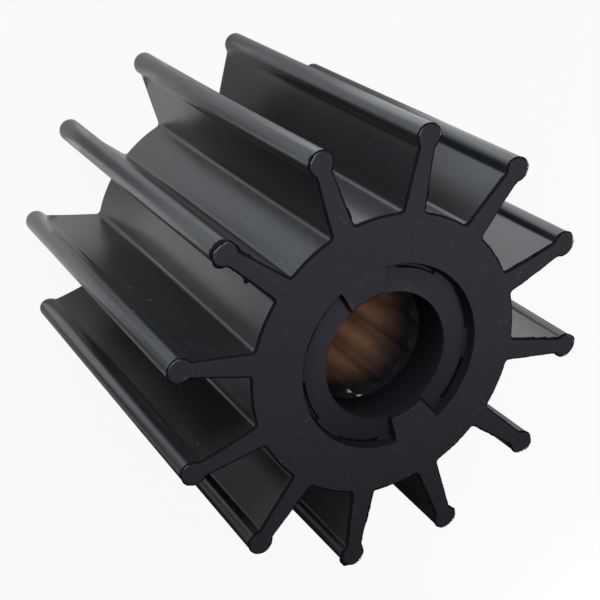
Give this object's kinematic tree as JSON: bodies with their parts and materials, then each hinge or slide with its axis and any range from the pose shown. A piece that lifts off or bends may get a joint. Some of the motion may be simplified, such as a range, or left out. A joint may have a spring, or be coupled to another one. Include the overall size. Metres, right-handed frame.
{
  "type": "rubber pump impeller",
  "caption": "Flexible rubber pump impeller: straight radial blades with beaded tips on a wide hub, and a splined bronze bushing set back in the bore.",
  "frame": {"origin": "centre of the back end face, on the shaft axis", "axes": "+Z along the shaft axis, out of the front face; the first blade lies along +X"},
  "size_m": [0.095, 0.095, 0.086],
  "materials": {
    "black_rubber": "matte moulded",
    "bronze": "broached, dull"
  },
  "bodies": {
    "root": {"rubber_impeller": "black_rubber", "splined_bushing": "bronze"}
  },
  "joints": []
}
